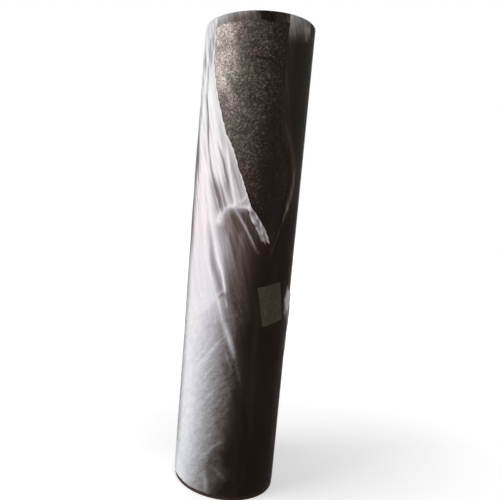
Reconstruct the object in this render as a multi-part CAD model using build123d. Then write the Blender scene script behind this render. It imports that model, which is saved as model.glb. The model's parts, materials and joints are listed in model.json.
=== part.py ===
"""Roll of mineral-faced roofing felt, standing on its end in a torn sleeve of clear film.

Z is up and runs along the roll's axis. The roll stands on the XY plane, and -Y is its front, where the film is torn
open. Angles round the roll are in degrees, from +X towards +Y. Lengths are in millimetres.
"""
from build123d import *
import math
import os

# The felt sheet, wound on a round bar that was then drawn out
SHEET_WIDTH = 1000.0
SHEET_THICKNESS = 5.0
BORE_RADIUS = 33.5
LAYERS = 16

# Where each layer climbs onto the one before it, and how far the outer free edge lies before that climb
CLIMB_ANGLE = 75.0
CLIMB_MIDDLE = 90.0
FREE_EDGE_LEAD = 30.0

# The crack that shows between two layers at the roll's ends
CRACK_WIDTH = 1.1
CRACK_DEPTH = 2.5
CRACK_OVERRUN = 1.0

# The paper label, laid askew on the felt
LABEL_WIDTH = 58.0
LABEL_HEIGHT = 84.0
LABEL_THICKNESS = 0.3
LABEL_DIRECTION = -51.0
LABEL_CENTRE_HEIGHT = 431.0
LABEL_SKEW = 13.0

# The film sleeve: its wall, the hem that stops short of the floor, and the lip shrunk over the top end
FILM_THICKNESS = 0.5
FILM_HEM_HEIGHT = 10.0
FILM_LIP_WIDTH = 24.0

# The strip of film left at the top, and the tear below it, as (degrees right of the front, depth below the strip):
# down the tear's left side, and back up its right side
TOP_STRIP_WIDTH = 17.0
TEAR_LEFT = [(-50, 0), (-49, 68), (-33, 170), (-8, 287), (6, 356), (31, 438)]
TEAR_RIGHT = [(31, 438), (38, 393), (45, 343), (48, 271), (33, 218), (29, 133), (29, 0)]

LAYER_START = CLIMB_MIDDLE + CLIMB_ANGLE / 2
ROUND_ANGLE = 360.0 - CLIMB_ANGLE
FREE_EDGE_TURN = ROUND_ANGLE - FREE_EDGE_LEAD
ROLL_RADIUS = BORE_RADIUS + LAYERS * SHEET_THICKNESS
FILM_RADIUS = ROLL_RADIUS + LABEL_THICKNESS


def layer_radius(count):
    """Outer radius of that many layers, where they lie round."""
    return BORE_RADIUS + count * SHEET_THICKNESS


def polar(radius, turn):
    """Point at that radius, turned by that angle from the sheet's inner edge."""
    angle = math.radians(LAYER_START + turn)
    return Vector(radius * math.cos(angle), radius * math.sin(angle))


def round_stretch(radius, first_turn, last_turn):
    """Arc about the roll's axis."""
    return CenterArc((0, 0), radius, LAYER_START + first_turn, last_turn - first_turn)


def climb(radius):
    """Two arcs by which a layer climbs one thickness between the end of its round stretch and the full turn."""
    start, end = polar(radius, ROUND_ANGLE), polar(radius + SHEET_THICKNESS, 360)
    halfway = polar(radius + SHEET_THICKNESS / 2, (ROUND_ANGLE + 360) / 2)
    rise = TangentArc(start, halfway, tangent=polar(1, ROUND_ANGLE + 90))
    settle = TangentArc(halfway, end, tangent=polar(1, 360 - 90), tangent_from_first=False)
    return [rise, settle]


def outside(radius, step_angle):
    """Face inside a line round the roll, which steps in past the free edge over that angle, and climbs out again."""
    lower = radius - SHEET_THICKNESS
    step_end = FREE_EDGE_TURN + step_angle
    return make_face([
        round_stretch(radius, 0, FREE_EDGE_TURN),
        Line(polar(radius, FREE_EDGE_TURN), polar(lower, step_end)),
        round_stretch(lower, step_end, ROUND_ANGLE),
        *climb(lower),
    ])


def wound_felt():
    """Section of the roll: the outer layer ends square, and the bore has the step of the inner edge."""
    bore = [
        round_stretch(BORE_RADIUS, 0, ROUND_ANGLE),
        *climb(BORE_RADIUS),
        Line(polar(layer_radius(1), 0), polar(BORE_RADIUS, 0)),
    ]
    return outside(ROLL_RADIUS, 0) - make_face(bore)


def crack_side(offset):
    """One side of the crack between the layers, followed from the inner edge out to the free edge."""
    into_bore = math.degrees(CRACK_OVERRUN / layer_radius(1))
    past_edge = math.degrees(CRACK_OVERRUN / ROLL_RADIUS)
    side = []
    for count in range(1, LAYERS - 1):
        radius = layer_radius(count) + offset
        side.append(round_stretch(radius, -into_bore if count == 1 else 0, ROUND_ANGLE))
        side.extend(climb(radius))
    side.append(round_stretch(layer_radius(LAYERS - 1) + offset, 0, FREE_EDGE_TURN + past_edge))
    return side


def crack_face():
    """The spiral crack as one long thin face."""
    inner, outer = crack_side(-CRACK_WIDTH / 2), crack_side(CRACK_WIDTH / 2)
    caps = [Line(inner[0] @ 0, outer[0] @ 0), Line(inner[-1] @ 1, outer[-1] @ 1)]
    return make_face(inner + outer + caps)


def felt_roll():
    """The wound sheet as one solid, with its turns cut into both ends."""
    body = extrude(wound_felt(), SHEET_WIDTH)
    crack = extrude(crack_face(), CRACK_DEPTH)
    return body - crack - Pos(0, 0, SHEET_WIDTH - CRACK_DEPTH) * crack


def tube(inner_radius, outer_radius, low, high):
    """Plain tube about the roll's axis, between two heights."""
    ring = Circle(outer_radius) - Circle(inner_radius)
    return Pos(0, 0, low) * extrude(ring, high - low)


def label():
    """Paper rectangle, bent round the outer layer."""
    paper = tube(ROLL_RADIUS, ROLL_RADIUS + LABEL_THICKNESS, 0, SHEET_WIDTH)
    outward = Vector(1, 0, 0).rotate(Axis.Z, LABEL_DIRECTION)
    along = Vector(0, 1, 0).rotate(Axis.Z, LABEL_DIRECTION)
    facing = Plane(origin=(0, 0, LABEL_CENTRE_HEIGHT), x_dir=along, z_dir=outward)
    outline = facing * Rot(0, 0, LABEL_SKEW) * Rectangle(LABEL_WIDTH, LABEL_HEIGHT)
    return paper & extrude(outline, FILM_RADIUS)


def tear_point(degrees_right, depth):
    """Point of the tear as seen from the front, in the upright plane through the axis."""
    height = SHEET_WIDTH - TOP_STRIP_WIDTH - depth
    return Vector(FILM_RADIUS * math.sin(math.radians(degrees_right)), 0, height)


def tear():
    """Block that takes the torn piece out of the front of the sleeve."""
    left = [tear_point(*place) for place in TEAR_LEFT]
    right = [tear_point(*place) for place in TEAR_RIGHT]
    outline = make_face([Spline(*left), Spline(*right), Line(right[-1], left[0])])
    return extrude(outline, 2 * FILM_RADIUS, dir=(0, -1, 0))


def stretched_film(radius):
    """Face inside the film, which runs straight from the free edge until it touches the layer under it."""
    return outside(radius, math.degrees(math.acos(1 - SHEET_THICKNESS / radius)))


def film_sleeve():
    """Clear film: a wall round the roll and a lip over the rim of its top end."""
    lip_bottom = SHEET_WIDTH + LABEL_THICKNESS
    lip_top = lip_bottom + FILM_THICKNESS
    sleeve = stretched_film(FILM_RADIUS + FILM_THICKNESS)
    wall = extrude(sleeve - stretched_film(FILM_RADIUS), lip_top - FILM_HEM_HEIGHT)
    lip = extrude(sleeve - Circle(ROLL_RADIUS - FILM_LIP_WIDTH), FILM_THICKNESS)
    return Pos(0, 0, FILM_HEM_HEIGHT) * wall + Pos(0, 0, lip_bottom) * lip - tear()


NODES = {
    "felt_roll": felt_roll,
    "label": label,
    "film_sleeve": film_sleeve,
}

os.makedirs("parts", exist_ok=True)
for name, make in NODES.items():
    export_step(make(), f"parts/{name}.step")

sheet_length = math.pi * (ROLL_RADIUS**2 - BORE_RADIUS**2) / SHEET_THICKNESS
print("roll diameter", 2 * ROLL_RADIUS, "sheet length about", round(sheet_length))
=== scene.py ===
import json
import math
import random
from types import SimpleNamespace

import bmesh
import bpy
import numpy as np
from mathutils import Matrix, Vector, noise


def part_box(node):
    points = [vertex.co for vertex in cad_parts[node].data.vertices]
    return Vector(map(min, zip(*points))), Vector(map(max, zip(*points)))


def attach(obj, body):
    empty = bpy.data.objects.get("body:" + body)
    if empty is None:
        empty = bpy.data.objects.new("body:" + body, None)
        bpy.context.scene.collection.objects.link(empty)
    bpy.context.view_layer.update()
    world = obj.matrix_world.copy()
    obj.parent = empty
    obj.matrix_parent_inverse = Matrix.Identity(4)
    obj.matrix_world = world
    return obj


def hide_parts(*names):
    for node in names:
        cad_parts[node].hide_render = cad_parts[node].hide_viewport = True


# A roll of mineral-faced roofing felt on its end, in a torn sleeve of clear polythene. Lengths are in metres, and
# places on the roll's side are (degrees right of the front, height in millimetres), as they are easiest to read.

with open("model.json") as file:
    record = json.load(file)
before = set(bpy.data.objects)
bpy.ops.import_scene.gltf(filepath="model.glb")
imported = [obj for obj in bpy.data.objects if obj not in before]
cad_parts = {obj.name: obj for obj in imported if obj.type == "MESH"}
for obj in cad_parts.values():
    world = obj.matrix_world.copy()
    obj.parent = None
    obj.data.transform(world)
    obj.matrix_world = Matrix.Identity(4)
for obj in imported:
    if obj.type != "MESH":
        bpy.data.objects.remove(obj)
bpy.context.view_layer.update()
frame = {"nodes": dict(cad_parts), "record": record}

MM = 0.001

# The roll, as the frame gives it
_, felt_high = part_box("felt_roll")
SHEET_WIDTH = felt_high[2]
ROLL_RADIUS = felt_high[0]
BORE_RADIUS = next(m for m in frame["record"]["mounts"] if m["name"] == "bore")["dims"]["r_mm"] * MM
MM_PER_DEGREE = math.radians(1) * ROLL_RADIUS / MM

# The winding: one layer's thickness, where each layer climbs onto the last, and the free edge before that climb
SHEET_THICKNESS = 5 * MM
CLIMB_ANGLE = 75.0
CLIMB_MIDDLE = 180.0
FREE_EDGE_LEAD = 30.0
ROUND_ANGLE = 360.0 - CLIMB_ANGLE
FREE_EDGE_TURN = ROUND_ANGLE - FREE_EDGE_LEAD
LAYER_START = CLIMB_MIDDLE - CLIMB_ANGLE / 2 - ROUND_ANGLE

# The film's place: its gap from the felt, its lower edge and the lip on the top end
FILM_GAP = 0.7 * MM
HEM_HEIGHT = 10 * MM
LIP_WIDTH = 24 * MM

# Heights on the side, in mm: the rim, and the lower edge of the strip left above the tear
RIM = SHEET_WIDTH / MM
STRIP_BOTTOM = RIM - 17

# The tear's two sides, from the tip up to the strip
TEAR_LEFT = [
    (31, 545), (22, 584), (15, 605), (6, 627), (1, 650), (-3, 673), (-10, 703), (-16, 737), (-26, 771), (-33, 808),
    (-40, 845), (-45, 877), (-50, 918), (-49.5, 956), (-50, 983),
]
TEAR_RIGHT = [
    (31, 545), (35, 567), (40, 593), (44, 635), (47, 670), (47, 700), (41, 730), (33, 765), (29.5, 812), (29, 860),
    (28.5, 915), (28, 960), (29, 983),
]
TIP_ANGLE, TIP_HEIGHT = TEAR_LEFT[0]

# Where the film on the front passes each level of milkiness, from the bottom up. It is loose and milky on the left,
# where part of its white is a painted reflection of the light from that side, and tight and clear on the right.
MILK_AND_REFLECTION_EDGES = [
    (0.92, [(-52, 0), (-54, 18), (-56, 50), (-50, 90), (-47, 130), (-48, 218), (-50, 306), (-48, 360), (-43, 400),
            (-25, 434), (-31, 475), (-36, 509), (-35, 550), (-38, 590), (-43, 640)]),
    (0.70, [(-38, 0), (-38, 18), (-36, 50), (-33, 90), (-31, 130), (-29, 218), (-27, 306), (-24, 360), (-20, 400),
            (-19, 434), (-22, 475), (-25, 509), (-24, 550), (-28, 590), (-33, 640)]),
    (0.48, [(-25, 0), (-25, 18), (-23, 48), (-22, 84), (-20, 105), (-17, 150), (-16, 218), (-13, 306), (-12, 360),
            (-11, 400), (-13, 434), (-13, 475), (-13, 509), (-13, 550), (-18, 590), (-28, 640)]),
    (0.30, [(-15, 0), (-15, 18), (-16, 48), (-17, 84), (-12, 105), (-7, 140), (-5, 218), (-3, 262), (-5, 306),
            (-6, 373), (-4, 400), (-6, 434), (-5, 475), (-5, 509), (-5, 550), (-9, 590), (-20, 640)]),
    (0.14, [(-7, 0), (-7, 18), (1, 48), (3, 70), (-3, 84), (-4, 105), (1, 130), (2, 218), (3, 262), (2, 306),
            (3, 373), (5, 400), (5, 434), (7, 475), (8, 509), (13, 550), (20, 590), (22, 640)]),
    (0.0, [(-3, 0), (-3, 18), (10, 48), (10, 70), (4, 90), (3, 105), (9, 130), (13, 218), (14, 262), (15, 306),
           (15, 373), (18, 400), (18, 434), (20, 475), (24, 509), (32, 550), (42, 590), (42, 640)]),
]

# The hem of the second thickness of film, which makes a pocket beside the tear, and the milkiness of the film above it
POCKET_HEM = [(-25, 598), (-23.5, 610), (-19.5, 620), (-14.4, 625), (-8.3, 627), (-1.1, 625), (5, 625)]
MILK_ABOVE_POCKET = 0.93

# The milkiness of the strip left above the tear, as (degrees right of the front, milkiness)
STRIP_HAZE = [
    (-50, 0.52), (-39, 0.46), (-21, 0.34), (-5, 0.24), (-1, 0.14), (3, 0.0), (11, 0.0), (18, 0.19), (29, 0.22),
]

# How far the film's patterns lean to the right, in mm for each mm down: the pull of the loose film, and its crinkles
PULL_LEAN = 0.30
CRINKLE_LEAN = -0.85

# Where the film has small crumples, as (place, half-width in degrees, half-height in mm): where it lies slack left of
# the label, where it is pinched at the right, and a painted glint in the middle of that
SLACK_SPOT = ((4, 422), 9, 40)
PINCHED_SPOT = ((69, 434), 8, 32)
GLINT_SPOT = ((65, 433), 4, 18)

# The film's vertices, as (from, to, about how far apart): rows by height in mm, and columns in degrees from the tear's
# tip, on round by the right; then the distances of the lip's rows from the rim, in mm
WALL_ROWS = [(HEM_HEIGHT / MM, TIP_HEIGHT, 4.4), (TIP_HEIGHT, 650, 3.0), (650, STRIP_BOTTOM, 4.4)]
STRIP_ROWS = (STRIP_BOTTOM, RIM, 3.4)
WALL_COLUMNS = [(0, 60, 0.9), (60, 220, 1.15), (220, 360, 0.8)]
STRIP_COLUMN_STEP = 0.9
LIP_ROWS = (0.6, 2.0, 4.5, 8.0, 12.0, 16.0, 20.0, LIP_WIDTH / MM)

# The height in mm over which the film tightens below the rim
RIM_EASE = 30

# Folds of the film, as (route, half-width, height over the film beside it, added milkiness); a valley's height is
# negative. The added milkiness is partly painted light: a painted highlight along a ridge, and painted shade in a
# valley, where it is negative
FOLDS = [
    # The loose film left of the tear: grooves and ridges that its pull draws down towards the pocket
    ([(-57, 960), (-56.8, 851), (-51.1, 800), (-47.5, 745), (-42.8, 718), (-38.6, 694), (-33.3, 668), (-29.9, 648),
      (-25.3, 622)], 3.0, -2.2, -0.43),
    ([(-63, 900), (-61, 800), (-59.3, 745), (-51.5, 725), (-43.4, 702), (-37.8, 678), (-34.1, 652)], 4.6, 2.4, 0.12),
    ([(-42, 700), (-37, 672), (-32, 645), (-28.5, 622)], 7.0, -1.0, -0.08),
    ([(-34, 752), (-26.1, 718), (-22.8, 695), (-19.9, 679), (-16.9, 659), (-13.6, 640), (-12, 629)], 3.0, -1.8, -0.38),
    ([(-36, 830), (-29, 780), (-21.6, 742), (-18.0, 709), (-14.6, 679), (-11.6, 656), (-8.6, 632)], 3.4, 2.6, 0.34),
    ([(-30, 712), (-27, 690), (-24, 668), (-20, 648), (-17, 632)], 3.4, 1.6, 0.14),
    ([(-69, 985), (-68, 880), (-66, 800), (-62, 730), (-57, 680), (-50, 640)], 6.0, 1.8, -0.12),
    ([(-61, 985), (-60, 920), (-59, 860), (-58, 800)], 2.0, 1.4, 0.12),
    ([(-53, 980), (-53.5, 940), (-54, 900), (-50, 860)], 1.6, -1.4, -0.24),
    ([(-50, 690), (-45, 640), (-41, 600), (-40, 560), (-38, 520)], 5.0, 2.6, 0.10),
    ([(-40, 900), (-36, 850), (-30, 800), (-24, 762), (-20, 735)], 4.0, 1.6, -0.06),
    # The bright strand below the pocket, the grey valley beside it in painted shade, and the folds that carry it on to
    # the lower right
    ([(-37, 585), (-34.1, 555), (-31.2, 526), (-27.3, 498), (-21.0, 469), (-17.7, 446)], 5.0, -1.6, -0.24),
    ([(-37, 626), (-32, 592), (-26.5, 557), (-22.8, 528), (-19.4, 506)], 6.4, 2.4, 0.22),
    ([(-25.5, 550), (-22.8, 528), (-19.4, 506), (-17, 492)], 5.6, 1.0, 0.42),
    ([(-21.8, 520), (-18.0, 500), (-14.7, 471), (-12.8, 455)], 3.2, 2.4, 0.52),
    ([(-15.0, 472), (-12.8, 458), (-12.4, 448)], 2.0, 1.4, 0.44),
    ([(-21, 575), (-15, 545), (-9, 515), (-5, 490)], 9.0, 0.5, 0.08),
    ([(-20.5, 445), (-16.6, 452), (-13.0, 459)], 1.7, 0.8, 0.24),
    ([(-19.5, 437), (-17.2, 443), (-15.0, 449)], 2.2, -1.2, -0.20),
    ([(-19.8, 444), (-16.4, 417), (-13.1, 394), (-9.4, 374)], 4.4, 1.6, 0.20),
    ([(-12.8, 442), (-10.8, 430), (-9.6, 418)], 2.0, 1.2, 0.32),
    ([(-9.4, 440), (-7.0, 425), (-4.5, 411), (-1.2, 384), (1.0, 366)], 4.6, 1.0, 0.06),
    ([(-9.4, 384), (-7.1, 368), (-4.4, 354), (-1.3, 336), (2.0, 320)], 5.8, 1.6, 0.48),
    ([(2.0, 322), (5.2, 298), (8.4, 277), (11, 258)], 4.6, 0.7, 0.14),
    ([(-9, 335), (-7.2, 327), (-4.4, 311), (0.5, 290)], 2.6, 1.0, 0.12),
    ([(-13, 318), (-10.5, 305), (-6.8, 293), (-2.9, 272), (2.2, 252), (6.2, 231), (8.3, 205)], 5.0, -0.8, -0.05),
    ([(-36, 560), (-34, 515), (-29.8, 483), (-23.6, 453), (-19.3, 434), (-16, 409)], 2.8, 1.2, 0.08),
    # Inside the pocket
    ([(-22, 604), (-20.5, 596), (-17.9, 583), (-12.8, 564), (-7.9, 546), (-3.0, 522)], 3.0, -0.7, -0.02),
    ([(-9, 623), (-8.0, 619), (-3.4, 605), (2.5, 586), (7.2, 569), (13.2, 549), (17, 536)], 2.6, 2.2, 0.46),
    ([(-15, 610), (-12, 596), (-7, 578), (-1, 560), (4, 542)], 3.0, 0.8, 0.07),
    ([(3, 614), (8, 597), (13, 578), (17, 560)], 6.0, 0.4, 0.08),
    ([(-9.4, 630), (-5.6, 635), (-1.9, 641), (1, 650)], 1.9, 1.6, 0.32),
    ([(-12.4, 627), (-9.5, 632), (-5.4, 629)], 2.6, 1.6, 0.22),
    # Fine creases that rise to the right across the lower left
    ([(-41.5, 275), (-30.3, 307), (-18.5, 339), (-8.7, 363)], 1.1, 1.2, 0.30),
    ([(-39.8, 271), (-29.9, 299), (-20.3, 327), (-10.1, 348)], 1.0, 1.0, 0.22),
    ([(-46, 285), (-34, 318), (-24, 345)], 1.0, 0.8, 0.12),
    ([(-36, 243), (-27, 270), (-17, 298)], 1.1, 0.8, 0.12),
    ([(-30, 204), (-22, 226), (-14, 248)], 1.3, 1.0, 0.14),
    ([(-26, 84), (-23.1, 90), (-18, 103), (-13.8, 116), (-8, 127), (-1, 137)], 4.0, 1.1, 0.14),
    ([(-20.4, 52), (-18.2, 38), (-16.6, 22), (-16, 6)], 6.0, 0.8, 0.20),
    ([(-12, 72), (-6, 62), (0, 54)], 4.0, 1.0, 0.12),
    # The film folded back beside the tear's right side, and slight folds on the tight film
    ([(36, 790), (42, 762), (48, 740), (52, 718), (54, 695), (54, 672), (52, 648), (48.5, 630)], 12.0, 1.1, 0.20),
    ([(54, 705), (52, 668), (47.6, 634), (43.0, 613), (39.3, 595), (36.4, 577), (33.6, 558), (30.0, 532)],
     4.8, 1.6, 0.24),
    ([(34.0, 754), (38.5, 734), (43.0, 714), (45.6, 692), (46.6, 671), (45.8, 648), (42.8, 629)], 2.4, 0.8, 0.05),
    ([(31.5, 985), (31.0, 930), (30.6, 860), (31.5, 800), (34, 770)], 2.4, 0.6, 0.06),
    ([(37, 975), (35, 900), (36, 820), (40, 770)], 7.0, 0.6, 0.07),
    ([(46, 640), (43, 560), (39, 470), (37, 380)], 7.0, 0.8, 0.05),
    ([(22, 520), (24, 440), (22, 330), (26, 220), (24, 60)], 7.0, 0.8, 0.06),
    ([(12, 260), (14, 180), (12, 90), (15, 15)], 5.0, 0.6, 0.05),
    ([(60, 360), (57, 250), (60, 120), (58, 20)], 6.0, 0.8, 0.03),
    # Where the film is pinched at the right, a painted glint just above that, and the creases that this draws round to
    # the back
    ([(62, 520), (68, 470), (75, 425), (88, 372), (108, 300), (130, 236)], 2.6, 2.4, 0.34),
    ([(62.4, 480), (64, 505), (64.4, 532), (65, 550)], 1.5, 0.8, 0.26),
    ([(70, 440), (82, 402), (100, 352), (124, 300)], 1.8, 1.6, 0.26),
    ([(66, 412), (74, 372), (88, 318), (104, 268)], 2.0, 1.6, 0.22),
    # The sheet's free edge, which shows through the film as an upright line: a painted highlight along the edge, and a
    # painted shadow beside it
    ([(112.5, 1000), (112.5, 10)], 1.6, 0.0, 0.14),
    ([(115.5, 1000), (115.5, 10)], 2.2, 0.0, -0.12),
]

# Black marks laid on the felt's face, as (route, half-width in mm): a line along a crease bent across the sheet, and a
# smear at its top edge
BLACK_MARKS = {
    "crease_in_felt": ([(-3.5, 917), (0, 915), (4.8, 913), (11.5, 913.5), (17.9, 907), (22, 902), (27, 897)], 2.1),
    "black_smear": ([(-2.5, 997), (2, 993), (6, 990), (10, 986), (14, 981)], 8.5),
}

# How many vertices a line of bitumen has across
LINE_COLUMNS = 9

# The camera that took the photo, as fitted to the roll's outline, in metres, degrees and pixels; its sensor in mm
CAMERA_DISTANCE = 1.1126
CAMERA_HEIGHT = 0.6198
CAMERA_PITCH = -7.079
CAMERA_ROLL = 4.071
CAMERA_YAW = -6.417
FOCAL_PIXELS = 492.83
AXIS_PIXEL = (185.0, 268.0)
IMAGE_SIDE = 500.0
SENSOR_WIDTH = 36.0

# Half the side of the studio floor, in metres
FLOOR_HALF = 12.0


def linear(hex_colour):
    """sRGB hex colour as linear red, green, blue and 1."""
    values = [int(hex_colour[i:i + 2], 16) / 255 for i in (1, 3, 5)]
    return [v / 12.92 if v <= 0.04045 else ((v + 0.055) / 1.055) ** 2.4 for v in values] + [1.0]


def add(tree, kind, inputs=None, stops=(), **settings):
    """Adds a node with its settings, its ramp's stops as hex colours or greys, and its inputs: values, or what they are
    linked to, a socket or a node whose first output in use is meant."""
    made = tree.nodes.new("ShaderNode" + kind)
    for name, value in settings.items():
        setattr(made, name, value)
    for i, (place, colour) in enumerate(stops):
        stop = made.color_ramp.elements[i] if i < 2 else made.color_ramp.elements.new(place)
        stop.position = place
        stop.color = linear(colour) if isinstance(colour, str) else (colour, colour, colour, 1.0)
    for name, value in (inputs or {}).items():
        if isinstance(value, bpy.types.Node):
            value = next(socket for socket in value.outputs if socket.enabled)
        if isinstance(value, bpy.types.NodeSocket):
            tree.links.new(value, made.inputs[name])
        else:
            made.inputs[name].default_value = value
    return made


def new_material(name):
    """Empty node material, and its node tree."""
    material = bpy.data.materials.new(name)
    material.use_nodes = True
    material.node_tree.nodes.clear()
    return material, material.node_tree


def new_piece(name, vertices, faces):
    """Object with that mesh, linked to the scene."""
    mesh = bpy.data.meshes.new(name)
    mesh.from_pydata(vertices, [], faces)
    piece = bpy.data.objects.new(name, mesh)
    bpy.context.scene.collection.objects.link(piece)
    return piece


def grid_faces(rows, columns, first=0):
    """Faces between the vertices of a grid, which are numbered row by row from the first."""
    corners = [first + i * columns + j for i in range(rows - 1) for j in range(columns - 1)]
    return [(a, a + 1, a + columns + 1, a + columns) for a in corners]


def on_side(radius, angles, heights):
    """Places at that radius and height in metres, at angles in radians right of the front."""
    return np.stack([radius * np.sin(angles), -radius * np.cos(angles), heights], axis=-1)


def wrapped_radius(degrees):
    """Radius of a line stretched round the felt, which runs straight from the free edge to the layer below."""
    turn = np.mod(degrees - LAYER_START, 360.0)
    lower = ROLL_RADIUS - SHEET_THICKNESS
    bridge = math.degrees(math.acos(lower / ROLL_RADIUS))
    straight = lower / np.cos(np.radians(np.clip(bridge - (turn - FREE_EDGE_TURN), 0, bridge)))
    part = np.clip((turn - ROUND_ANGLE) / CLIMB_ANGLE, 0, 1)
    climb = np.where(part < 0.5, 2 * part**2, 1 - 2 * (1 - part) ** 2)
    below = np.where(turn < ROUND_ANGLE, straight, lower + SHEET_THICKNESS * climb)
    return np.where(turn < FREE_EDGE_TURN, ROLL_RADIUS, below)


def smooth(low, high, value):
    """0 below low, 1 above high, and a smooth step between."""
    part = np.clip((value - low) / (high - low), 0, 1)
    return part * part * (3 - 2 * part)


def between(rise_start, rise_end, fall_start, fall_end, value):
    """1 between a smooth rise and a smooth fall, and 0 outside them."""
    return smooth(rise_start, rise_end, value) * (1 - smooth(fall_start, fall_end, value))


def hill(distance, half_width):
    """1 at no distance, and falling off over that half-width."""
    return np.exp(-((distance / half_width) ** 2))


def mound(degrees, heights, spot):
    """1 at a spot on the side, and falling off all round it."""
    (angle, height), half_width, half_height = spot
    return hill(degrees - angle, half_width) * hill(heights - height, half_height)


def noise_at(places):
    """Smooth noise at each place."""
    return np.array([noise.noise(Vector(place)) for place in places])


def unrolled(route):
    """A route's points in mm on the unrolled side, and how far along the route each of them is."""
    points = np.array([(a * MM_PER_DEGREE, z) for a, z in route])
    lengths = np.linalg.norm(np.diff(points, axis=0), axis=1)
    return points, np.concatenate([[0], np.cumsum(lengths)])


def along(route, degrees, heights):
    """Distance in mm from each place to a route, and how far along it the nearest point is, from 0 to 1."""
    points, starts = unrolled(route)
    places = np.stack([degrees * MM_PER_DEGREE, heights], axis=-1)
    best = np.full(degrees.shape, np.inf)
    share = np.zeros(degrees.shape)
    for i, length in enumerate(np.diff(starts)):
        step = (points[i + 1] - points[i]) / length
        t = np.clip((places - points[i]) @ step, 0, length)
        distance = np.linalg.norm(places - points[i] - t[..., None] * step, axis=-1)
        nearer = distance < best
        best = np.where(nearer, distance, best)
        share = np.where(nearer, (starts[i] + t) / starts[-1], share)
    return best, share


def angle_at(route, heights):
    """Angles of a route that rises all the way, at those heights."""
    angles, rising = zip(*route)
    return np.interp(heights, rising, angles)


def ripple(degrees, heights, wide, tall, lean, seed):
    """Smooth noise on the roll's side, with lumps of that width and height in mm, which lean to the right by that
    many mm for each mm down; it closes round the back."""
    radius = ROLL_RADIUS / MM
    angles = np.radians(degrees) + lean * heights / radius
    places = np.stack([radius / wide * np.sin(angles) + seed, radius / wide * np.cos(angles), heights / tall], axis=-1)
    return noise_at(places.reshape(-1, 3)).reshape(degrees.shape)


def crease(degrees, heights, wide, tall, lean, seed, sharpness):
    """Thin creases along the middles of such lumps, from 0 to 1."""
    return np.clip(1 - 2.4 * np.abs(ripple(degrees, heights, wide, tall, lean, seed)), 0, 1) ** sharpness


def level_crossed(degrees, heights):
    """Milkiness on the front, between the places where the film passes each level."""
    levels = [level for level, _ in MILK_AND_REFLECTION_EDGES]
    edges = [angle_at(route, heights) for _, route in MILK_AND_REFLECTION_EDGES]
    milk_and_painted_light = np.full(degrees.shape, levels[0])
    for left, right, high, low in zip(edges, edges[1:], levels, levels[1:]):
        milk_and_painted_light = np.where(degrees > left, high + (low - high) * np.clip((degrees - left) / (right - left), 0, 1), milk_and_painted_light)
    return milk_and_painted_light


def above_pocket(degrees, heights):
    """1 above the pocket's hem, on the loose film beside the tear, and 0 below it."""
    hem = np.interp(degrees, *zip(*POCKET_HEM))
    beside = smooth(600, 640, heights)
    return np.where(degrees > POCKET_HEM[0][0], smooth(hem - 1.5, hem + 1.5, heights), beside) * (degrees < 20)


def back_folds():
    """Long creases over the back, from the side where the film is tight down to the side where it is loose."""
    chance = random.Random(11)
    folds = []
    for _ in range(54):
        start, top = chance.uniform(84, 258), chance.uniform(120, 1040)
        length, lean, bend = chance.uniform(110, 360), chance.uniform(0.07, 0.17), chance.uniform(-5, 5)
        height = chance.choice((-1.6, 1.4, 2.2, 3.0))
        # A ridge is whitened as a painted highlight along it, and a valley darkened as painted shade
        added = chance.uniform(0.20, 0.52) if height > 0 else -0.16
        route = [(start + lean * length * share + bend * math.sin(math.pi * share), top - length * share)
                 for share in (0, 0.25, 0.5, 0.75, 1)]
        folds.append((route, chance.uniform(1.3, 2.8), height, added))
    return folds


def film_zones(degrees, heights):
    """How far each place on the side belongs to each zone of the film, from 0 to 1."""
    upper = smooth(310, 520, heights)
    return SimpleNamespace(
        front=1 - smooth(80, 120, np.abs(degrees)),
        left=between(-120, -80, 0, 18, degrees),
        upper=upper,
        drawn=upper * (0.4 + 0.6 * smooth(540, 680, heights)),
        pocket_top=above_pocket(degrees, heights),
    )


def film_grain(degrees, heights):
    """The noise from which the film's creases and clouds are made."""
    return SimpleNamespace(
        streak=ripple(degrees, heights, 11, 120, PULL_LEAN, 3.1),
        broad=ripple(degrees, heights, 26, 190, PULL_LEAN, 6.4),
        cloud=ripple(degrees, heights, 60, 150, PULL_LEAN, 1.7),
        crinkle=crease(degrees, heights, 9, 15, CRINKLE_LEAN, 7.7, 3),
        mottle=ripple(degrees, heights, 10, 14, -0.6, 4.4),
        ragged=ripple(degrees, heights, 5, 9, 0.5, 8.3),
        beside_edge=ripple(degrees, heights, 5, 80, 0.36, 5.9),
    )


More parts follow.
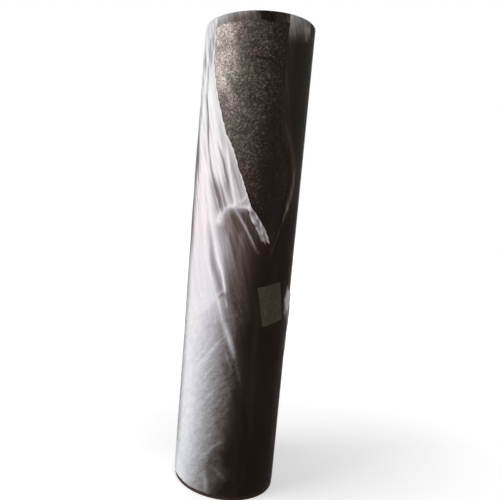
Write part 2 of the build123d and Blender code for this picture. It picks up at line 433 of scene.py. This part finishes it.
def broad_milk(degrees, heights, zone, grain):
    """Milkiness of the film before its folds: as in the photo on the front, and made up behind."""
    milk_and_painted_light = level_crossed(degrees, heights)
    milk_and_painted_light += zone.pocket_top * (MILK_ABOVE_POCKET - milk_and_painted_light)
    milk_and_painted_light -= 0.14 * zone.pocket_top * smooth(850, 930, heights) * smooth(-75, -60, degrees)
    # Just above the pocket it is clearer, most of all at the pocket's left end
    over_pocket = smooth(-40, -33, degrees + 0.20 * (heights - 640)) * (1 - smooth(655, 700, heights))
    milk_and_painted_light -= (0.06 + 0.24 * (1 - smooth(-24, -16, degrees))) * over_pocket * zone.pocket_top
    milk_and_painted_light += 0.30 * grain.beside_edge * zone.pocket_top * zone.left
    # Down the left side it is painted greyer, as painted shade along its rim, darkest at the height of the pocket
    left_rim_shade = smooth(-108, -84, degrees) * (1 - smooth(-77, -58, degrees + 2 * grain.ragged))
    milk_and_painted_light -= (0.08 + 0.28 * between(20, 120, 800, 900, heights) + 0.28 * between(480, 560, 700, 800, heights)) * left_rim_shade
    behind = 0.42 + 0.38 * grain.cloud + 0.10 * grain.broad + 0.04 * grain.streak
    behind += np.where(degrees < 0, 0.30, -0.22) * (1 - smooth(120, 180, np.abs(degrees)))
    milk_and_painted_light = zone.front * milk_and_painted_light + (1 - zone.front) * np.clip(behind, 0.03, 0.90)
    milk_and_painted_light += zone.left * zone.drawn * (0.06 * grain.streak + 0.12 * grain.broad)
    milk_and_painted_light += zone.left * (1 - zone.upper) * (0.04 * (grain.crinkle - 0.25) + 0.06 * grain.mottle)
    # On the right it is tight, with faint clouds below the tear
    tight = between(-8, 0, 48, 60, degrees) * (1 - smooth(560, 600, heights))
    return milk_and_painted_light + tight * (0.01 + 0.03 * smooth(150, 250, heights) + 0.04 * grain.broad + 0.03 * grain.streak)


def broad_lift(degrees, zone, grain):
    """Height of the film over its tight line in mm, before its folds."""
    lift = 0.3 + (1 - zone.front) * (1 + grain.cloud)
    lift += zone.left * (1.1 + 1.4 * zone.upper + zone.drawn * (0.7 * grain.streak + 1.6 * grain.broad))
    lift += zone.left * (1 - zone.upper) * (0.5 * grain.crinkle + 0.4 * grain.mottle)
    return lift + 1.4 * zone.pocket_top * smooth(-60, -30, degrees)


def folds_on(folds, degrees, heights, swell):
    """Height and milkiness that folds add at each place; swell is how much there is of a fold along its route."""
    lift, milk_and_painted_light = np.zeros(degrees.shape), np.zeros(degrees.shape)
    for route, half_width, height, added in folds:
        distance, share = along(route, degrees, heights)
        crest = hill(distance, half_width) * swell(share)
        lift += height * crest
        milk_and_painted_light += added * crest
    return lift, milk_and_painted_light


def hem_and_torn_edge(degrees, heights, zone, grain, lift, milk_and_painted_light):
    """Adds the pocket's hem and the tear's left side to the film's lift and milk."""
    distance, _ = along(POCKET_HEM, degrees, heights)
    hem_line = hill(distance, 4.6 + 1.4 * grain.ragged) * (heights < 635)
    below_hem = hill(distance, 13) * (1 - zone.pocket_top) * (heights > 585) * (degrees < 6)
    milk_and_painted_light += 0.28 * hem_line + 0.24 * below_hem
    lift += 1.3 * hem_line
    # The torn edge of the second thickness curls out beside the tear's lower left side, widest at its ragged end
    distance, _ = along(TEAR_LEFT, degrees, heights)
    curl_width = 4.5 + 9.5 * (1 - smooth(595, 635, heights)) + 2.5 * grain.ragged
    curl = (1 - smooth(curl_width - 1.5, curl_width + 1.5, distance)) * smooth(555, 562, heights + 6 * grain.ragged)
    curl *= (1 - smooth(624, 634, heights)) * (degrees < angle_at(TEAR_LEFT, heights) + 1)
    curl_rim = hill(distance, 1.8) + 0.5 * hill(distance - curl_width, 1.2)
    milk_and_painted_light += curl * (0.50 - 0.18 * smooth(600, 620, heights) + 0.4 * grain.ragged + 0.25 * curl_rim)
    lift += curl * (2.4 + 2.0 * grain.ragged)
    # Above the pocket the edge is stretched white and clings to the felt
    milk_and_painted_light += 0.20 * hill(distance, 1.8) * smooth(625, 650, heights) * (heights < 975)
    lift *= 1 - 0.92 * (1 - smooth(0, 16, distance)) * smooth(640, 700, heights) * (degrees < 0)


def crumples(degrees, heights, grain, lift, milk_and_painted_light):
    """Adds the crumples left of the label, the pinched spot with its painted glints and the haze beside the tear to the
    lift and the milkiness.
    """
    slack = mound(degrees, heights, SLACK_SPOT)
    wavelet = crease(degrees, heights, 9, 34, 0.6, 3.3, 2)
    milk_and_painted_light += slack * (0.10 * wavelet - 0.02)
    lift += slack * 1.2 * wavelet
    pinched = mound(degrees, heights, PINCHED_SPOT)
    crumple = crease(degrees, heights, 7, 24, 0.4, 9.2, 1)
    # The pinched crumples are whitened as painted glints, and the spot in their middle most of all
    milk_and_painted_light += pinched * (0.30 + 1.2 * crumple**1.5)
    lift += pinched * 5.0 * crumple
    milk_and_painted_light += mound(degrees, heights, GLINT_SPOT) * (0.7 + 1.1 * crumple)
    beside_tear = between(27, 30, 48, 62, degrees) * smooth(520, 640, heights)
    milk_and_painted_light += beside_tear * (0.05 + 0.05 * grain.broad)


def film_at_top(degrees, heights, grain, lift, milk_and_painted_light):
    """Adds the milky patch right of the tear to the lift and the milk, and makes the strip over it tight and hazy."""
    patch = between(27.5, 29.5, 57, 64, degrees) * smooth(944, 986, heights + 4 * grain.ragged)
    milk_and_painted_light += patch * (0.46 + 0.10 * grain.mottle + 0.10 * smooth(46, 56, degrees) * (1 - smooth(985, 992, heights)))
    # The patch is painted lighter at the top, as a highlight where it turns over the rim
    milk_and_painted_light += 0.16 * patch * smooth(984, 998, heights) * (1 - smooth(38, 46, degrees))
    lift += 0.8 * patch
    (left_end, _), (right_end, _) = STRIP_HAZE[0], STRIP_HAZE[-1]
    strip = (heights > STRIP_BOTTOM - 1) & (degrees > left_end) & (degrees < right_end)
    haze = np.interp(degrees, *zip(*STRIP_HAZE))
    # The strip's left part is painted lighter along the top, as a highlight where it turns over the rim
    haze += 0.08 * grain.mottle + 0.12 * smooth(988, 998, heights) * (1 - smooth(-16, 0, degrees))
    milk_and_painted_light[strip] = haze[strip]
    lift[strip] = 0.5


def film_shape(degrees, heights):
    """Height of the film over its tight line, in mm, and its milkiness, at each place on the roll's side."""
    zone, grain = film_zones(degrees, heights), film_grain(degrees, heights)
    lift, milk_and_painted_light = broad_lift(degrees, zone, grain), broad_milk(degrees, heights, zone, grain)
    raised, whitened = folds_on(FOLDS, degrees, heights,
                                lambda share: np.sin(math.pi * np.clip(share, 0.05, 0.95)) ** 0.5)
    lift += raised
    milk_and_painted_light += whitened
    behind = np.any(zone.front < 1, axis=0)
    if behind.any():
        raised, whitened = folds_on(back_folds(), np.mod(degrees[:, behind], 360), heights[:, behind],
                                    lambda share: np.sin(math.pi * share))
        lift[:, behind] += raised * (1 - zone.front[:, behind])
        milk_and_painted_light[:, behind] += whitened * (1 - zone.front[:, behind])
    hem_and_torn_edge(degrees, heights, zone, grain, lift, milk_and_painted_light)
    crumples(degrees, heights, grain, lift, milk_and_painted_light)
    film_at_top(degrees, heights, grain, lift, milk_and_painted_light)
    return np.maximum(lift, 0.25), np.clip(milk_and_painted_light, 0, 1)


def spread(start, end, step):
    """Evenly spaced values from start to end, about that far apart."""
    return np.linspace(start, end, int(round(abs(end - start) / step)) + 1)


def spread_on(*stretches):
    """Such values over stretches that follow each other."""
    return np.concatenate([spread(*stretch)[i > 0:] for i, stretch in enumerate(stretches)])


def torn_wall():
    """Places on the film's wall, from the tear's right side on round the back to its left side. Below the tear's tip
    the first and the last column meet."""
    columns, rows = TIP_ANGLE + spread_on(*WALL_COLUMNS), spread_on(*WALL_ROWS, STRIP_ROWS)
    heights = rows[:, None] * np.ones_like(columns)
    beside_tear = np.clip(heights, TIP_HEIGHT, STRIP_BOTTOM)
    ragged = noise_at([(0.0, z / 9, 4.0) for z in rows]) + 0.6 * noise_at([(3.0, z / 3.5, 1.0) for z in rows])
    ragged *= (rows > TIP_HEIGHT + 4) * (rows < STRIP_BOTTOM - 4)
    left = angle_at(TEAR_LEFT, beside_tear) + 1.1 * ragged[:, None]
    right = angle_at(TEAR_RIGHT, beside_tear) + 0.7 * ragged[::-1][:, None]
    degrees = right + (columns - TIP_ANGLE) / 360 * (360 + left - right)
    degrees = np.where(degrees > 180, degrees - 360, degrees)
    angles = np.radians(columns)
    # The lower edge waves by a few mm
    hem = 3.0 * noise_at(np.stack([3 * np.sin(angles), 3 * np.cos(angles), np.full_like(angles, 8.0)], axis=-1))
    return degrees, heights + hem * np.clip(1 - (heights - rows[0]) / 50, 0, 1)


def top_strip():
    """Places on the strip of film left over the tear, with its ragged lower edge."""
    columns = spread(angle_at(TEAR_LEFT, STRIP_BOTTOM), angle_at(TEAR_RIGHT, STRIP_BOTTOM), STRIP_COLUMN_STEP)
    heights = spread(*STRIP_ROWS)[:, None] * np.ones_like(columns)
    ragged = 2.5 * noise_at([(a / 5, 1.0, 6.0) for a in columns])
    ragged *= np.clip(np.minimum(columns - columns[0], columns[-1] - columns) / 4, 0, 1)
    return np.ones_like(heights) * columns, heights + ragged * np.clip(1 - (heights - STRIP_BOTTOM) / 12, 0, 1)


def lip(angles, rim_radius):
    """The film's wrinkled lip on the top end: its places, those on the flat sheet, and their milkiness."""
    places, flat, milk_and_painted_light = [], [], []
    for inward in LIP_ROWS:
        share = inward / LIP_ROWS[-1]
        ragged = 1 + 0.25 * noise_at([(a * 9, share, 2.0) for a in angles]) * share
        wrinkle = np.abs(noise_at([(a * 14, share * 1.2, 5.0) for a in angles]))
        rise = 0.6 * min(1, inward / 2) + 2.4 * wrinkle * share**0.6
        places.append(on_side(rim_radius - inward * MM * ragged, angles, SHEET_WIDTH + rise * MM))
        flat.append(np.stack([angles * ROLL_RADIUS, np.full_like(angles, SHEET_WIDTH + inward * MM)], axis=-1))
        milk_and_painted_light.append(np.clip(0.12 + 0.6 * wrinkle, 0, 1))
    return places, flat, milk_and_painted_light


def film_part(degrees, heights):
    """Film over a grid of places on the side and on over the rim: its places, those on the flat sheet, and their
    milkiness."""
    lift, milk_and_painted_light = film_shape(degrees, heights)
    near_rim = np.clip(1 - (RIM - heights) / RIM_EASE, 0, 1) ** 2
    lift += near_rim * (0.2 - 0.8 * lift)
    radius = wrapped_radius(degrees) + FILM_GAP + lift * MM
    angles = np.radians(degrees)
    flat = np.stack([angles * ROLL_RADIUS, heights * MM], axis=-1)
    wall = on_side(radius, angles, heights * MM), flat, milk_and_painted_light
    return [np.concatenate(pair) for pair in zip(wall, lip(angles[-1], radius[-1]))]


def film_sleeve():
    """The film as one open sheet: the wall with its tear, the strip over it, and the lip on the top end."""
    vertices, flat, milk_and_painted_light, faces = [], [], [], []
    for degrees, heights in (torn_wall(), top_strip()):
        places, unrolled_places, milkiness = film_part(degrees, heights)
        faces += grid_faces(*milkiness.shape, first=len(vertices))
        vertices += places.reshape(-1, 3).tolist()
        flat += unrolled_places.reshape(-1, 2).tolist()
        milk_and_painted_light += milkiness.ravel().tolist()
    sleeve = new_piece("film_sleeve_torn", vertices, faces)
    mesh = sleeve.data
    mesh.attributes.new("milk_and_painted_light", "FLOAT", "POINT").data.foreach_set("value", milk_and_painted_light)
    loop_vertices = np.empty(len(mesh.loops), int)
    mesh.loops.foreach_get("vertex_index", loop_vertices)
    mesh.uv_layers.new(name="unrolled").data.foreach_set("uv", np.array(flat)[loop_vertices].ravel())
    # The parts are joined where their vertices meet
    work = bmesh.new()
    work.from_mesh(mesh)
    bmesh.ops.remove_doubles(work, verts=work.verts, dist=0.02 * MM)
    bmesh.ops.recalc_face_normals(work, faces=work.faces)
    work.to_mesh(mesh)
    work.free()
    mesh.shade_smooth()
    return sleeve


def drawn_out(tree, place, lean, wide, tall):
    """Place at which a pattern has lumps of that width and height in mm, which lean to the right by that many mm for
    each mm down; it is turned about the roll's axis by its height, so it closes round the back."""
    height = add(tree, "SeparateXYZ", {"Vector": place}).outputs["Z"]
    angle = add(tree, "Math", {0: height, 1: lean / ROLL_RADIUS}, operation="MULTIPLY")
    turned = add(tree, "VectorRotate", {"Vector": place, "Angle": angle}, rotation_type="Z_AXIS")
    scale = (1 / (wide * MM), 1 / (wide * MM), 1 / (tall * MM))
    return add(tree, "VectorMath", {0: turned, 1: scale}, operation="MULTIPLY")


def polythene():
    """Polythene film, blown and shrunk on: clear with a satin gloss where it clings to the felt, milky where it is
    loose or in two thicknesses, and stretched white along its creases; its milkiness also carries painted
    highlights and painted shade."""
    material, tree = new_material("polythene_film")
    milk_and_painted_light = add(tree, "Attribute", attribute_name="milk_and_painted_light").outputs["Fac"]
    place = add(tree, "TexCoord").outputs["Object"]
    parts = add(tree, "SeparateXYZ", {"Vector": place})
    across, height = parts.outputs["X"], parts.outputs["Z"]
    upper = add(tree, "MapRange", {"Value": height, "From Min": 0.30, "From Max": 0.60})
    # Its pull draws facets of 12 by 130 mm down the upper half, with finer lines of 6 by 110 mm on them
    facets = add(tree, "TexVoronoi", {"Vector": drawn_out(tree, place, PULL_LEAN, 12, 130), "Scale": 1.0},
                 feature="DISTANCE_TO_EDGE")
    facet_edge = add(tree, "MapRange", {"Value": facets, "From Min": 0.0, "From Max": 0.12, "To Min": 1.0,
                                        "To Max": 0.0}, interpolation_type="SMOOTHSTEP")
    lines = add(tree, "TexNoise", {"Vector": drawn_out(tree, place, PULL_LEAN, 6, 110), "Scale": 1.0, "Detail": 3.0})
    pulled = add(tree, "Mix", {"Factor": 0.28, "A": lines, "B": facet_edge})
    # Fine crinkles of 4 by 7 mm rise to the right on the lower half
    crinkles = add(tree, "TexNoise", {"Vector": drawn_out(tree, place, CRINKLE_LEAN, 4, 7), "Scale": 1.0,
                                      "Detail": 3.0, "Roughness": 0.6, "Distortion": 0.8})
    texture = add(tree, "Mix", {"Factor": upper, "A": crinkles, "B": pulled})
    swing = add(tree, "MapRange", {"Value": texture, "From Min": 0.25, "From Max": 0.75, "To Min": -0.10,
                                   "To Max": 0.10})
    body = add(tree, "ValToRGB", {"Fac": milk_and_painted_light}, [(0.0, 0.25), (0.15, 0.5), (0.5, 1.0), (0.95, 0.5)])
    veil = add(tree, "Math", {0: swing, 1: body, 2: milk_and_painted_light}, operation="MULTIPLY_ADD", use_clamp=True)
    colour = add(tree, "ValToRGB", {"Fac": veil}, [
        (0.0, "#2a1f1a"), (0.15, "#4a3e38"), (0.32, "#746763"), (0.5, "#9d969a"), (0.65, "#bbb6bd"), (0.82, "#dfdbe2"),
        (1.0, "#fbf7fb"),
    ])
    cover = add(tree, "ValToRGB", {"Fac": veil}, [(0.0, 0.50), (0.15, 0.70), (0.4, 0.90), (1.0, 0.97)])
    bump = add(tree, "Bump", {"Height": texture, "Distance": 1.0 * MM, "Strength": 0.18})
    # The tight film on the right has taken a warm stain from the bitumen
    stained = add(tree, "MapRange", {"Value": across, "From Min": 0.02, "From Max": 0.06})
    tinted = add(tree, "Mix", {"Factor": stained, "A": colour, "B": linear("#fff8ee")}, data_type="RGBA",
                 blend_type="MULTIPLY")
    # It is cool at the foot and warm where it hangs loose below the tear, and sunlight has yellowed its top a little
    cast = add(tree, "ValToRGB", {"Fac": height}, [
        (0.20, "#f9fffd"), (0.42, "#ffffff"), (0.58, "#fff8f7"), (0.70, "#fffaf8"), (0.86, "#fbfffa"),
    ])
    tinted = add(tree, "Mix", {"Factor": 1.0, "A": tinted, "B": cast}, data_type="RGBA", blend_type="MULTIPLY")
    film = add(tree, "BsdfPrincipled", {
        "Base Color": tinted, "Alpha": cover, "Roughness": 0.40, "Normal": bump, "IOR": 1.06, "Specular IOR Level": 0.8,
    })
    add(tree, "OutputMaterial", {"Surface": film})
    return material


def cut_end(tree, place, across, behind, angle):
    """Colour of the sheet where it is cut across, at the roll's ends: black bitumen, with the paler fibres of its
    carrier in the middle and a line of granules on each turn's outer side."""
    offset = add(tree, "Math", {0: angle, 1: math.radians(-LAYER_START)}, operation="ADD")
    turn = add(tree, "Math", {0: offset, 1: 2 * math.pi, 2: 0.0}, operation="WRAP")
    climbed = add(tree, "MapRange", {"Value": turn, "From Min": math.radians(ROUND_ANGLE), "From Max": 2 * math.pi},
                  interpolation_type="SMOOTHSTEP")
    flat = add(tree, "CombineXYZ", {"X": across, "Y": behind})
    radius = add(tree, "VectorMath", {0: flat}, operation="LENGTH")
    layers = add(tree, "MapRange", {"Value": radius, "From Min": BORE_RADIUS, "From Max": ROLL_RADIUS,
                                    "To Max": (ROLL_RADIUS - BORE_RADIUS) / SHEET_THICKNESS}, clamp=False)
    height_in_layer = add(tree, "Math", {0: layers, 1: climbed}, operation="SUBTRACT")
    fibres = add(tree, "TexNoise", {"Vector": place, "Scale": 1 / (1.6 * MM), "Detail": 2.0})
    sway = add(tree, "MapRange", {"Value": fibres, "To Min": -0.10, "To Max": 0.10})
    frayed = add(tree, "Math", {0: height_in_layer, 1: sway}, operation="ADD")
    share = add(tree, "Math", {0: frayed}, operation="FRACT")
    cut = add(tree, "ValToRGB", {"Fac": share}, [
        (0.0, "#0f0c0b"), (0.14, "#1c1715"), (0.38, "#221c19"), (0.47, "#5a4f46"), (0.56, "#221c19"), (0.76, "#1c1715"),
        (0.84, "#6f665f"), (0.93, "#4a423d"), (1.0, "#0f0c0b"),
    ])
    worn = add(tree, "MapRange", {"Value": fibres, "From Min": 0.35, "From Max": 0.7, "To Min": 0.7, "To Max": 0.0})
    return add(tree, "Mix", {"Factor": worn, "A": cut, "B": linear("#1f1a17")}, data_type="RGBA")


def bare_share(tree, behind, height, angle):
    """1 where the felt's face lies bare in the tear, and 0 where the film presses on it."""
    # The tear's right side bounds the bare face, as a share of a quarter turn for each share of the height
    side = add(tree, "ValToRGB", {"Fac": height}, [(z * MM / SHEET_WIDTH, (a + 1) / 90) for a, z in TEAR_RIGHT])
    side = add(tree, "Math", {0: side, 1: math.pi / 2}, operation="MULTIPLY")
    inside = add(tree, "Math", {0: side, 1: angle}, operation="SUBTRACT")
    bare = add(tree, "MapRange", {"Value": inside, "From Min": 0.0, "From Max": 0.03})
    over_tip = add(tree, "MapRange", {"Value": height, "From Min": 0.54, "From Max": 0.60, "To Min": 0.25})
    right_of = add(tree, "MapRange", {"Value": angle, "From Min": math.radians(-75), "From Max": math.radians(-62)})
    in_front = add(tree, "MapRange", {"Value": behind, "From Min": 0.04, "From Max": 0.05})
    for within in (over_tip, right_of, in_front):
        bare = add(tree, "Math", {0: bare, 1: within}, operation="MULTIPLY")
    return bare


def mineral_felt():
    """Bitumen felt faced with crushed slate pressed into it while hot: a matt speckled face, dusted pale where it lies
    bare, with a painted sheen at the upper left and painted shade to the right, and dark and smooth where the film
    presses on it."""
    material, tree = new_material("mineral_faced_felt")
    coordinates = add(tree, "TexCoord")
    place = coordinates.outputs["Object"]
    parts = add(tree, "SeparateXYZ", {"Vector": place})
    across, depth, height = (parts.outputs[axis] for axis in "XYZ")
    behind = add(tree, "Math", {0: depth, 1: -1.0}, operation="MULTIPLY")
    angle = add(tree, "Math", {0: across, 1: behind}, operation="ARCTAN2")
    bare = bare_share(tree, behind, height, angle)
    # The granules are 1 to 2 mm, and are drawn as clumps of 2.4 to 6 mm so that they show
    grain = add(tree, "TexVoronoi", {"Vector": place, "Scale": 1 / (2.4 * MM)}).outputs["Color"]
    tone = add(tree, "SeparateColor", {"Color": grain}).outputs["Red"]
    clumps = add(tree, "TexNoise", {"Vector": place, "Scale": 1 / (6 * MM), "Detail": 3.0, "Roughness": 0.6})
    speck = add(tree, "Mix", {"Factor": 0.62, "A": tone, "B": clumps})
    patches = add(tree, "TexNoise", {"Vector": place, "Scale": 1 / (34 * MM), "Detail": 3.0})
    # Pale slate dusting and a painted sheen lie thick at the upper left of the bare face and thin out to the right
    thin = add(tree, "MapRange", {"Value": angle, "From Min": math.radians(-34), "From Max": math.radians(16),
                                  "To Min": 0.24, "To Max": 0.0}, interpolation_type="SMOOTHSTEP")
    thick = add(tree, "MapRange", {"Value": angle, "From Min": math.radians(-42), "From Max": math.radians(-12),
                                   "To Min": 0.95, "To Max": 0.0}, interpolation_type="SMOOTHSTEP")
    high = add(tree, "MapRange", {"Value": height, "From Min": 0.78, "From Max": 0.92}, interpolation_type="SMOOTHSTEP")
    dust_and_sheen = add(tree, "Math", {0: thick, 1: high, 2: thin}, operation="MULTIPLY_ADD")
    sway = add(tree, "MapRange", {"Value": patches, "From Min": 0.3, "From Max": 0.7, "To Min": 0.5, "To Max": 1.5})
    dust_and_sheen = add(tree, "Math", {0: dust_and_sheen, 1: sway}, operation="MULTIPLY", use_clamp=True)
    dust_and_sheen_colour = add(tree, "ValToRGB", {"Fac": speck}, [
        (0.28, "#8b7f7a"), (0.44, "#b3a7a2"), (0.58, "#cdc2bd"), (0.72, "#f4ece6"),
    ])
    slate = add(tree, "ValToRGB", {"Fac": speck}, [
        (0.28, "#1f1814"), (0.44, "#2f2721"), (0.58, "#40362e"), (0.72, "#6c6155"),
    ])
    # The facing is painted darker to the right and lower down as painted shade, with blotches of random tone
    shade_and_blotch = add(tree, "MapRange", {"Value": angle, "From Min": math.radians(4), "From Max": math.radians(20),
                                  "To Min": 0.0, "To Max": 0.55}, interpolation_type="SMOOTHSTEP")
    low = add(tree, "MapRange", {"Value": height, "From Min": 0.70, "From Max": 0.90, "To Min": 0.22, "To Max": -0.16},
              interpolation_type="SMOOTHSTEP")
    blotch = add(tree, "MapRange", {"Value": patches, "From Min": 0.35, "From Max": 0.65, "To Min": -0.12,
                                    "To Max": 0.16})
    shade_and_blotch = add(tree, "Math", {0: shade_and_blotch, 1: low}, operation="ADD")
    shade_and_blotch = add(tree, "Math", {0: shade_and_blotch, 1: blotch}, operation="ADD", use_clamp=True)
    slate = add(tree, "Mix", {"Factor": shade_and_blotch, "A": slate, "B": linear("#1a1310")}, data_type="RGBA")
    face = add(tree, "Mix", {"Factor": dust_and_sheen, "A": slate, "B": dust_and_sheen_colour}, data_type="RGBA")
    # The slate runs from reddish to greenish in areas of about 50 mm, and it is redder towards the tear's tip
    vein = add(tree, "TexNoise", {"Vector": place, "Scale": 1 / (50 * MM), "Detail": 2.0})
    for cause, stops in (
        (vein, [(0.36, "#fff6f6"), (0.64, "#fafdf4")]), (height, [(0.62, "#ffe3e9"), (0.76, "#ffffff")]),
    ):
        hue = add(tree, "ValToRGB", {"Fac": cause}, stops)
        face = add(tree, "Mix", {"Factor": 1.0, "A": face, "B": hue}, data_type="RGBA", blend_type="MULTIPLY")
    under_film = add(tree, "ValToRGB", {"Fac": height}, [(0.2, "#372722"), (0.62, "#3d2d29"), (0.8, "#48443a")])
    pressed = add(tree, "Mix", {"Factor": bare, "A": under_film, "B": face}, data_type="RGBA")
    upright = add(tree, "SeparateXYZ", {"Vector": coordinates.outputs["Normal"]}).outputs["Z"]
    upright = add(tree, "Math", {0: upright}, operation="ABSOLUTE")
    end = add(tree, "MapRange", {"Value": upright, "From Min": 0.6, "From Max": 0.7})
    cut = cut_end(tree, place, across, behind, angle)
    colour = add(tree, "Mix", {"Factor": end, "A": pressed, "B": cut}, data_type="RGBA")
    rough = add(tree, "Math", {0: bare, 1: end}, operation="MAXIMUM")
    bump = add(tree, "Bump", {"Height": speck, "Distance": 0.8 * MM, "Strength": rough})
    felt = add(tree, "BsdfPrincipled", {
        "Base Color": colour, "Roughness": 0.75, "Normal": bump, "Specular IOR Level": 0.12,
    })
    add(tree, "OutputMaterial", {"Surface": felt})
    return material


def black_mark_finish():
    """Deep black and wrinkled, with a dull shine, for the black marks on the felt's face."""
    material, tree = new_material("black_mark_finish")
    place = add(tree, "TexCoord").outputs["Object"]
    crust = add(tree, "TexNoise", {"Vector": place, "Scale": 1 / (4 * MM), "Detail": 3.0})
    colour = add(tree, "ValToRGB", {"Fac": crust}, [(0.35, "#050302"), (0.75, "#17110e")])
    bump = add(tree, "Bump", {"Height": crust, "Distance": 0.8 * MM, "Strength": 1.0})
    black_finish = add(tree, "BsdfPrincipled", {
        "Base Color": colour, "Roughness": 0.65, "Normal": bump, "IOR": 1.3, "Specular IOR Level": 0.3,
    })
    add(tree, "OutputMaterial", {"Surface": black_finish})
    return material


def black_mark_line(name, route, half_width):
    """A low ragged black line on the felt's face, which thins out at both ends."""
    points, starts = unrolled(route)
    steps = spread(0, starts[-1], 0.7)
    middle = np.stack([np.interp(steps, starts, points[:, i]) for i in (0, 1)], axis=-1)
    ahead = np.gradient(middle, axis=0)
    beside = np.stack([-ahead[:, 1], ahead[:, 0]], axis=-1) / np.linalg.norm(ahead, axis=1)[:, None]
    taper = np.sin(np.linspace(0, math.pi, len(steps))) ** 0.6
    vertices = []
    for offset in np.linspace(-1, 1, LINE_COLUMNS):
        ragged = 1 + 0.7 * noise_at([(step / 3, 2.0 if offset > 0 else 7.0, half_width) for step in steps])
        x, z = (middle + beside * (offset * half_width * taper * ragged)[:, None]).T
        radius = ROLL_RADIUS + (0.05 + 0.35 * (1 - offset**2) * taper) * MM
        vertices.append(on_side(radius, np.radians(x / MM_PER_DEGREE), np.minimum(z * MM, SHEET_WIDTH - 0.5 * MM)))
    vertices = np.stack(vertices, axis=1)
    line = new_piece(name, vertices.reshape(-1, 3).tolist(), grid_faces(len(steps), LINE_COLUMNS))
    line.data.shade_smooth()
    return line


def brown_paper():
    """Unbleached label paper, darkened by the oils of the bitumen: matt, with a faint fibre."""
    material, tree = new_material("brown_label_paper")
    place = add(tree, "TexCoord").outputs["Object"]
    fibre = add(tree, "TexNoise", {"Vector": place, "Scale": 1 / (5 * MM), "Detail": 4.0})
    colour = add(tree, "ValToRGB", {"Fac": fibre}, [(0.3, "#877b64"), (0.7, "#a99c80")])
    paper = add(tree, "BsdfPrincipled", {"Base Color": colour, "Roughness": 0.85})
    add(tree, "OutputMaterial", {"Surface": paper})
    return material


def seen_directly(tree):
    """1 for the rays of the camera, of reflections and of transmission, and 0 for the rest."""
    path = add(tree, "LightPath")
    seen = path.outputs["Is Camera Ray"]
    for kind in ("Is Glossy Ray", "Is Transmission Ray"):
        seen = add(tree, "Math", {0: seen, 1: path.outputs[kind]}, operation="MAXIMUM")
    return seen


def pale_floor():
    """Smooth pale studio floor, which looks white but for the roll's shadow."""
    material, tree = new_material("pale_floor")
    place = add(tree, "TexCoord").outputs["Object"]
    distance = add(tree, "VectorMath", {0: place}, operation="LENGTH")
    glow = add(tree, "MapRange", {"Value": distance, "From Min": 0.2, "From Max": 1.5, "To Min": 0.50, "To Max": 1.0})
    strength = add(tree, "Math", {0: glow, 1: seen_directly(tree)}, operation="MULTIPLY")
    paint = add(tree, "BsdfPrincipled", {
        "Base Color": linear("#f2f2f2"), "Roughness": 0.9, "Specular IOR Level": 0.1,
        "Emission Color": (1, 1, 1, 1), "Emission Strength": strength,
    })
    add(tree, "OutputMaterial", {"Surface": paint})
    return material


def place_camera():
    """Camera fitted to the roll's outline in the photograph."""
    pitch, roll, yaw = (math.radians(v) for v in (CAMERA_PITCH, CAMERA_ROLL, CAMERA_YAW))
    forward = Vector((math.sin(yaw) * math.cos(pitch), math.cos(yaw) * math.cos(pitch), math.sin(pitch)))
    level = Vector((math.cos(yaw), -math.sin(yaw), 0))
    upright = level.cross(forward)
    right = level * math.cos(roll) + upright * math.sin(roll)
    up = upright * math.cos(roll) - level * math.sin(roll)
    data = bpy.data.cameras.new("camera")
    data.sensor_width = SENSOR_WIDTH
    data.lens = FOCAL_PIXELS / IMAGE_SIDE * SENSOR_WIDTH
    data.shift_x = 0.5 - AXIS_PIXEL[0] / IMAGE_SIDE
    data.shift_y = AXIS_PIXEL[1] / IMAGE_SIDE - 0.5
    camera = bpy.data.objects.new("camera", data)
    turn = Matrix((right, up, -forward)).transposed().to_4x4()
    camera.matrix_world = Matrix.Translation((0, -CAMERA_DISTANCE, CAMERA_HEIGHT)) @ turn
    bpy.context.scene.collection.objects.link(camera)
    bpy.context.scene.camera = camera


def soft_lamp(name, place, target, side, watts):
    """Square area lamp that points at a place."""
    data = bpy.data.lights.new(name, "AREA")
    data.size = side
    data.energy = watts
    lamp = bpy.data.objects.new(name, data)
    lamp.location = place
    lamp.rotation_euler = (Vector(target) - Vector(place)).to_track_quat("-Z", "Y").to_euler()
    bpy.context.scene.collection.objects.link(lamp)


def light_studio():
    """Soft key from the left, a weak fill, and a white surrounding that only the camera and reflections see."""
    middle = (0, 0, SHEET_WIDTH / 2)
    soft_lamp("key", (-2.0, -1.1, 1.25), middle, 1.3, 39)
    soft_lamp("fill", (1.8, -2.0, 1.2), middle, 1.6, 6)
    world = bpy.data.worlds.new("studio")
    world.use_nodes = True
    tree = world.node_tree
    tree.nodes.clear()
    ambient = add(tree, "Background", {"Color": linear("#f4f4f6"), "Strength": 0.25})
    white = add(tree, "Background", {"Color": (1, 1, 1, 1), "Strength": 1.0})
    either = add(tree, "MixShader", {"Fac": seen_directly(tree), 1: ambient, 2: white})
    add(tree, "OutputWorld", {"Surface": either})
    bpy.context.scene.world = world


def lay_floor():
    """Wide pale floor under the roll."""
    corners = [(x * FLOOR_HALF, y * FLOOR_HALF, 0) for x, y in ((-1, -1), (1, -1), (1, 1), (-1, 1))]
    floor = new_piece("floor", corners, [(0, 1, 2, 3)])
    floor.data.materials.append(pale_floor())


def dress(node, material):
    """Gives a CAD node its material."""
    frame["nodes"][node].data.materials.clear()
    frame["nodes"][node].data.materials.append(material)


bpy.context.scene.view_settings.view_transform = "Standard"
place_camera()
light_studio()
lay_floor()
dress("felt_roll", mineral_felt())
dress("label", brown_paper())

black_finish = black_mark_finish()
for name, (route, half_width) in BLACK_MARKS.items():
    line = black_mark_line(name, route, half_width)
    line.data.materials.append(black_finish)
    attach(line, "root")

sleeve = film_sleeve()
sleeve.data.materials.append(polythene())
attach(sleeve, "root")
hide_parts("film_sleeve")
